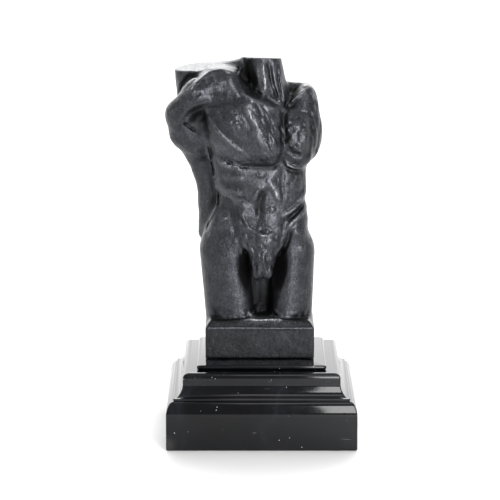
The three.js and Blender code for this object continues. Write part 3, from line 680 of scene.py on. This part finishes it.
# painted shade: the colour goes to near-black where the surface is closed in, with darker patina
# in the hollows
shade_and_patina_mask = ramp(tree, shade_and_hollow_patina, [(0.30, 0.0), (0.75, 1.0)], (-650, 550))
colour = node(tree, "ShaderNodeMix", (-350, 350), dict(data_type="RGBA"), Factor=shade_and_patina_mask)
tree.links.new(open_tone, colour.inputs["A"])
colour.inputs["B"].default_value = (0.004, 0.004, 0.005, 1)
tree.links.new(colour.outputs["Result"], shader.inputs["Base Color"])
shader.inputs["Metallic"].default_value = 0.75
rough = node(tree, "ShaderNodeMapRange", (-650, 0), Value=specks, From_Min=0.3, From_Max=0.7,
             To_Min=0.23, To_Max=0.40).outputs["Result"]
dulled = maths(tree, "MULTIPLY_ADD", (-400, 0), shade_and_patina_mask, 0.35, rough)
tree.links.new(dulled, shader.inputs["Roughness"])
fine = node(tree, "ShaderNodeBump", (-350, -250), Height=specks, Strength=0.6, Distance=0.0006)
grit = node(tree, "ShaderNodeTexNoise", (-1200, -500), Vector=own, Scale=1300.0, Detail=3.0,
            Roughness=0.6).outputs["Fac"]
bump = node(tree, "ShaderNodeBump", (-150, -250), Height=grit, Strength=0.3, Distance=0.0002,
            Normal=fine.outputs["Normal"])
bump = node(tree, "ShaderNodeBump", (-150, -450), Height=combed, Strength=0.6, Distance=0.0005,
            Normal=bump.outputs["Normal"])
tree.links.new(bump.outputs["Normal"], shader.inputs["Normal"])
torso.data.materials.append(patina)
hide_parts("bronze_torso")
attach(torso, "root")


# Marble slab. A thin square of black marble under the bronze, its edge turned to a full round
# and the whole polished. It lies loose on the base and is held by the same bolt.

def moulded(name, profile, corner, steps=6):
    """A square stone: rings of rounded squares, one for each (half width, height) in mm."""
    angles = [(side + s / steps) * math.pi / 2 for side in range(4) for s in range(steps + 1)]
    signs = [(sx, sy) for sx, sy in ((1, 1), (-1, 1), (-1, -1), (1, -1)) for _ in range(steps + 1)]
    points, faces = [], []
    for half, height in profile:
        points += [(sx * (half - corner) + corner * math.cos(a),
                    sy * (half - corner) + corner * math.sin(a), height)
                   for a, (sx, sy) in zip(angles, signs)]
    ring = len(angles)
    for level in range(len(profile) - 1):
        for i in range(ring):
            a, b = level * ring + i, level * ring + (i + 1) % ring
            faces.append((a, b, b + ring, a + ring))
    faces.append(tuple(reversed(range(ring))))
    faces.append(tuple(range((len(profile) - 1) * ring, len(profile) * ring)))
    mesh = bpy.data.meshes.new(name)
    mesh.from_pydata([(x / 1000, y / 1000, z / 1000) for x, y, z in points], [], faces)
    mesh.polygons.foreach_set("use_smooth", [True] * len(faces))
    mesh.set_sharp_from_angle(angle=math.radians(28))
    made = bpy.data.objects.new(name, mesh)
    bpy.context.collection.objects.link(made)
    return made


def black_marble(name, veins, tone):
    """Polished near-black marble with faint clouding, a few pale flecks and fine scratches."""
    made, tree, shader, own = finish_named(name)
    clouds = node(tree, "ShaderNodeTexNoise", (-1100, 250), Vector=own, Scale=veins, Detail=8.0,
                  Roughness=0.62, Distortion=0.8).outputs["Fac"]
    base = ramp(tree, clouds, [(0.3, tuple(0.3 * c for c in tone)), (0.55, tone),
                               (0.75, tuple(3.0 * c for c in tone))], (-850, 250))
    spots = node(tree, "ShaderNodeTexVoronoi", (-1100, -50), Vector=own, Scale=300.0,
                 Randomness=1.0).outputs["Distance"]
    chosen = node(tree, "ShaderNodeTexNoise", (-1100, -300), Vector=own, Scale=70.0,
                  Detail=2.0).outputs["Fac"]
    spot = ramp(tree, spots, [(0.06, 1.0), (0.14, 0.0)], (-850, -50))
    rare = ramp(tree, chosen, [(0.60, 0.0), (0.64, 1.0)], (-850, -300))
    fleck = maths(tree, "MULTIPLY", (-600, -150), spot, rare)
    drawn = node(tree, "ShaderNodeMapping", (-1400, -800), Vector=own, Scale=(0.12, 1.0, 1.0),
                 Rotation=(0.0, 0.5, 0.0))
    lines = node(tree, "ShaderNodeTexNoise", (-1100, -800), Vector=drawn.outputs["Vector"],
                 Scale=420.0, Detail=2.0).outputs["Fac"]
    scratch = maths(tree, "MULTIPLY", (-600, -350),
                    ramp(tree, lines, [(0.68, 0.0), (0.74, 0.16)], (-850, -800)),
                    ramp(tree, clouds, [(0.50, 0.0), (0.58, 1.0)], (-850, -550)))
    corner = node(tree, "ShaderNodeVectorMath", (-1100, -1050), dict(operation="DISTANCE"))
    tree.links.new(own, corner.inputs[0])
    corner.inputs[1].default_value = (-0.080, -0.080, 0.004)
    worn = maths(tree, "MULTIPLY", (-600, -1050), ramp(
        tree, corner.outputs["Value"], [(0.002, 0.12), (0.009, 0.0)], (-850, -1050)), clouds)
    marks = maths(tree, "ADD", (-500, -350), scratch, worn)
    pale = maths(tree, "MAXIMUM", (-450, -150), fleck, marks)
    mixed = node(tree, "ShaderNodeMix", (-350, 200), dict(data_type="RGBA"), Factor=pale)
    tree.links.new(base, mixed.inputs["A"])
    mixed.inputs["B"].default_value = (0.5, 0.5, 0.5, 1)
    tree.links.new(mixed.outputs["Result"], shader.inputs["Base Color"])
    smears = node(tree, "ShaderNodeTexNoise", (-1100, -550), Vector=own, Scale=28.0, Detail=7.0,
                  Roughness=0.7).outputs["Fac"]
    rough = node(tree, "ShaderNodeMapRange", (-600, -550), Value=smears, From_Min=0.3,
                 From_Max=0.75, To_Min=0.04, To_Max=0.14).outputs["Result"]
    tree.links.new(rough, shader.inputs["Roughness"])
    shader.inputs["IOR"].default_value = 1.37
    uneven = node(tree, "ShaderNodeBump", (-300, -600), Height=smears, Strength=0.05,
                  Distance=0.0006)
    tree.links.new(uneven.outputs["Normal"], shader.inputs["Normal"])
    return made


STONE = (0.0036, 0.0039, 0.0052)  # near-black, a little blue
SLAB_HALF, SLAB_FOOT, SLAB_TOP = 54.5, 63.4, 67.4
slab_round = (SLAB_TOP - SLAB_FOOT) / 2
slab_profile = [(SLAB_HALF - slab_round + slab_round * math.cos(a), SLAB_FOOT + slab_round
                 + slab_round * math.sin(a)) for a in np.linspace(-math.pi / 2, math.pi / 2, 17)]
slab = moulded("slab", slab_profile, 2.4)
slab.data.materials.append(black_marble("slab marble", 34.0, STONE))
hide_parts("marble_slab")
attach(slab, "root")


# Moulded base. One block of the same marble, turned out on all four sides by a saw and a
# profiled grinding wheel: upright face, swelling shoulder, fillet, hollow, band and a rounded
# top edge, then polished. The lowest arris is a little rubbed.

def quarter(start, end, bulge, pieces=12):
    """A quarter-round between two places of a profile: bulge 1 swells, -1 is hollow."""
    t = np.linspace(0, math.pi / 2, pieces + 1)[1:]
    draw, rise = ((1 - np.cos(t), np.sin(t)) if bulge > 0 else (np.sin(t), 1 - np.cos(t)))
    return [(start[0] + (end[0] - start[0]) * a, start[1] + (end[1] - start[1]) * b)
            for a, b in zip(draw, rise)]


BASE_HALF, FACE_TOP, FILLET_HALF, BAND_HALF, BASE_TOP = 80.0, 28.6, 73.9, 66.1, 63.1
base_profile = [(BASE_HALF - 1.6, 0.0), *quarter((BASE_HALF - 1.6, 0.0), (BASE_HALF, 1.6), -1, 5),
                (BASE_HALF, FACE_TOP), *quarter((BASE_HALF, FACE_TOP), (FILLET_HALF, 41.4), 1),
                (FILLET_HALF - 0.2, 41.6), (FILLET_HALF, 41.9), (FILLET_HALF, 43.0),
                (FILLET_HALF - 0.4, 43.4), *quarter((FILLET_HALF - 0.4, 43.4),
                                                    (BAND_HALF, 54.3), -1),
                (BAND_HALF, 58.6), *quarter((BAND_HALF, 58.6), (BAND_HALF - 5, BASE_TOP), 1)]
base = moulded("base", base_profile, 1.2)
base.data.materials.append(black_marble("base marble", 22.0, STONE))
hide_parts("marble_base")
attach(base, "root")


# The table it is shown on. A wide, plain, pale board that runs back out of sight behind the
# plinth, so no edge of it shows.

bpy.ops.mesh.primitive_circle_add(vertices=96, radius=5.0, fill_type="NGON")
table = bpy.context.object
table.name = "table_top"
pale, tree, shader, own = finish_named("pale table")
shader.inputs["Base Color"].default_value = (0.80, 0.80, 0.80, 1)
shader.inputs["Roughness"].default_value = 0.55
table.data.materials.append(pale)


# Light. A tall soft box stands close at the front right, with a weak one at the left and one
# overhead. A bright panel and surround behind edge the bronze and are mirrored in the marble.

def soft_box(name, place, aim, width, height, power):
    """A rectangular light at one place, turned to face another."""
    data = bpy.data.lights.new(name, "AREA")
    data.shape = "RECTANGLE"
    data.size, data.size_y, data.energy = width, height, power
    made = bpy.data.objects.new(name, data)
    bpy.context.collection.objects.link(made)
    made.location = place
    way = np.array(aim, float) - np.array(place, float)
    made.rotation_euler = (math.acos(-way[2] / np.linalg.norm(way)), 0,
                           math.atan2(way[1], way[0]) - math.pi / 2)
    return made


middle = (0, 0, 0.2)
soft_box("key", (0.36, -1.04, 0.63), (0.02, 0, 0.63), 0.40, 1.0, 18)
soft_box("fill", (-1.3, -0.8, 0.7), middle, 0.3, 0.9, 3)
soft_box("overhead", (0.1, -0.45, 1.6), middle, 0.4, 0.4, 1.5)
soft_box("back", (0.0, 2.6, 1.7), (0, 1.6, 0), 3.5, 1.4, 70)

world = bpy.data.worlds.new("studio")
bpy.context.scene.world = world
world.use_nodes = True
tree = world.node_tree
way = node(tree, "ShaderNodeTexCoord", (-900, 0)).outputs["Generated"]
apart = node(tree, "ShaderNodeSeparateXYZ", (-700, 0), Vector=way)
surround = ramp(tree, node(tree, "ShaderNodeMapRange", (-500, 0), Value=apart.outputs["Y"],
                           From_Min=-1.0, From_Max=1.0).outputs["Result"],
                [(0.0, 0.20), (0.45, 0.26), (0.72, 0.8), (1.0, 1.35)], (-300, 0))
background = tree.nodes["Background"]
tree.links.new(surround, background.inputs["Color"])
background.inputs["Strength"].default_value = 1.6


# Camera. A long lens looks from the front and a little above, so the plinth's sides draw
# together only slightly.

lens = bpy.data.cameras.new("camera")
lens.lens = 216
lens.sensor_width = 36
lens.clip_end = 50
camera = bpy.data.objects.new("camera", lens)
bpy.context.collection.objects.link(camera)
camera.location = (-0.00976, -2.5058, 0.653)
camera.rotation_euler = (math.radians(90 - 11.23), 0, 0)
bpy.context.scene.camera = camera
bpy.context.scene.view_settings.view_transform = "Standard"
